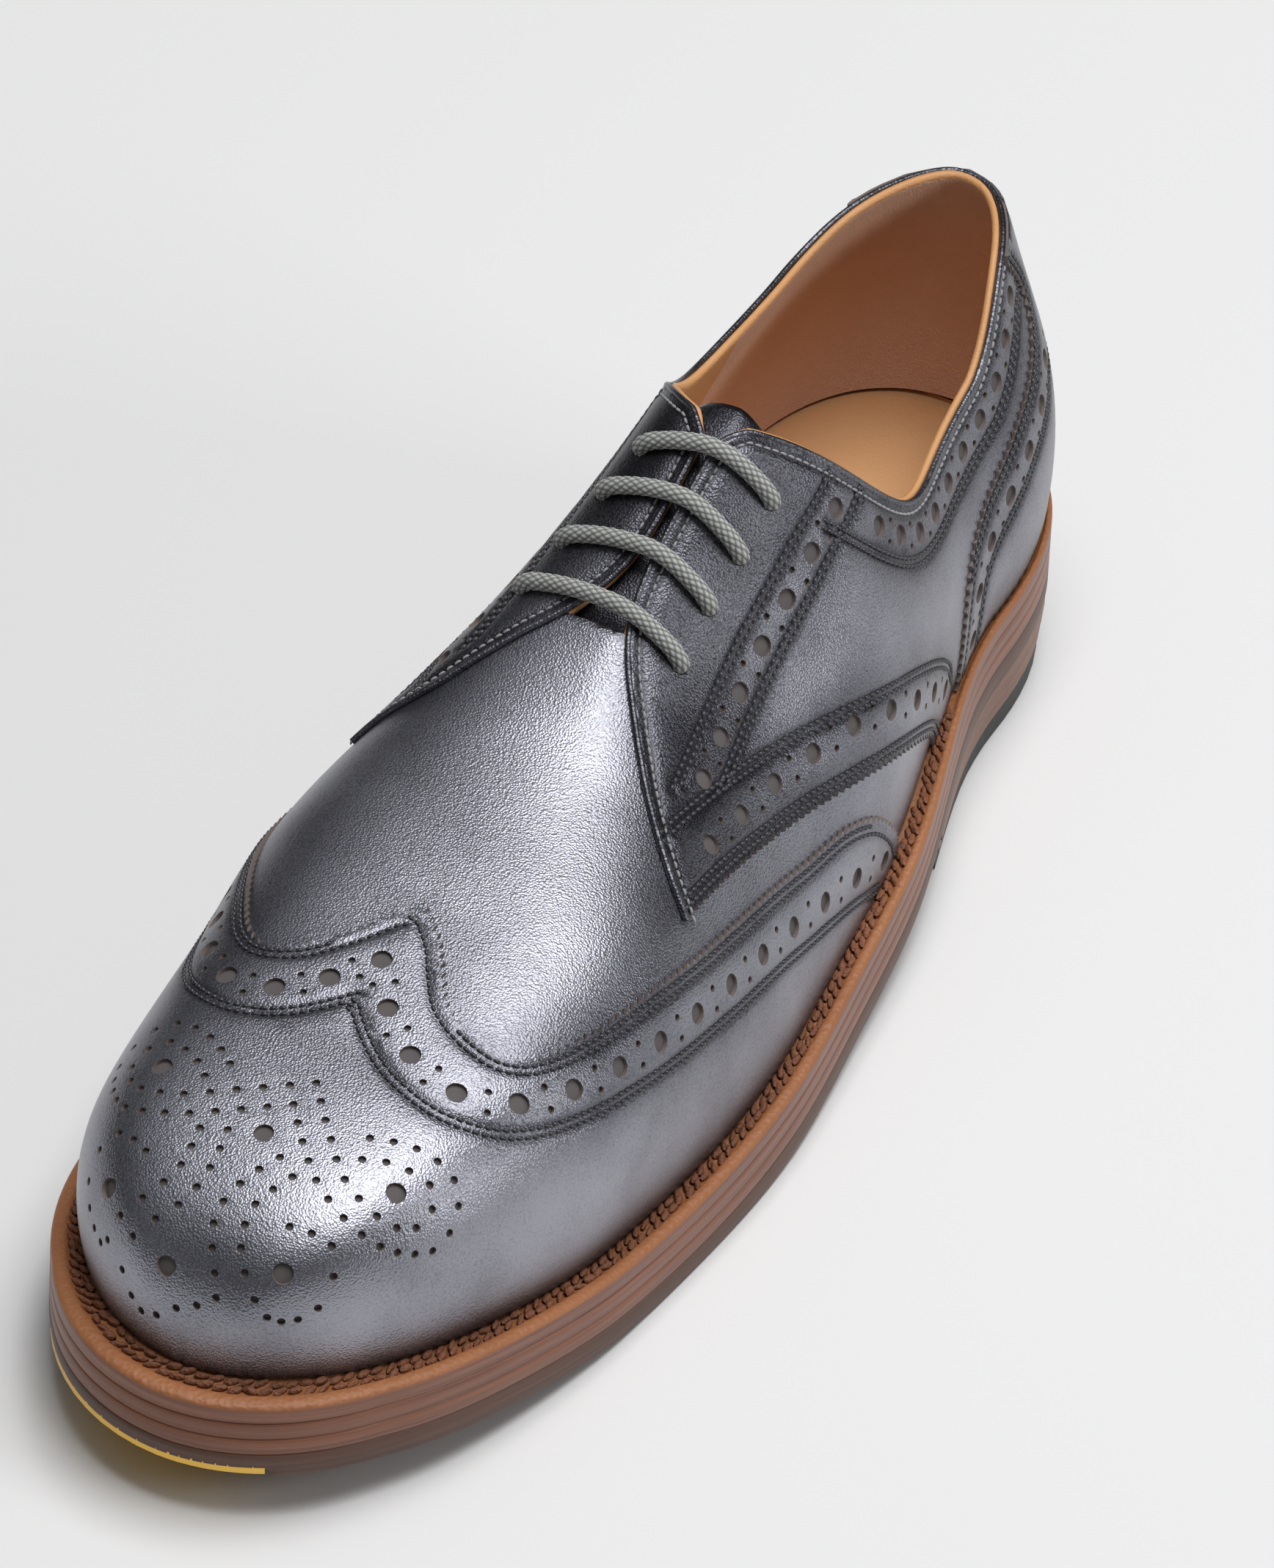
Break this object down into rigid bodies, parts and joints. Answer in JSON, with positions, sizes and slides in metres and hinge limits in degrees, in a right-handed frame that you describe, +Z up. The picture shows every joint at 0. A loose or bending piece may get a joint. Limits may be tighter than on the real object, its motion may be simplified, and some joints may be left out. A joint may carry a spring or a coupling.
{
  "type": "full brogue shoe",
  "caption": "Left full brogue: an open-laced leather shoe with a winged toe cap, punched bands and counter, on a welted leather sole with a stacked heel.",
  "frame": {"origin": "on the floor, under the middle of the sole's outline", "axes": "+Z up, toe towards -Y, heel towards +Y, outer (lateral) side towards +X"},
  "size_m": [0.1016, 0.301, 0.1081],
  "materials": {
    "slate_leather": "burnished grain, satin",
    "tan_leather": "matte",
    "welt_leather": "rough cut edge",
    "sole_leather": "trimmed and waxed edge",
    "toe_plate_brass": "brushed",
    "top_piece_rubber": "matte",
    "lace_cord": "round braid"
  },
  "bodies": {
    "root": {"upper": "slate_leather", "tongue": "slate_leather", "insole": "tan_leather", "welt": "welt_leather", "midsole": "sole_leather", "outsole": "sole_leather", "toe_plate": "toe_plate_brass", "heel_lift_1": "sole_leather", "heel_lift_2": "sole_leather", "top_piece": "top_piece_rubber", "lace_bar_1": "lace_cord", "lace_bar_2": "lace_cord", "lace_bar_3": "lace_cord", "lace_bar_4": "lace_cord"}
  },
  "joints": []
}
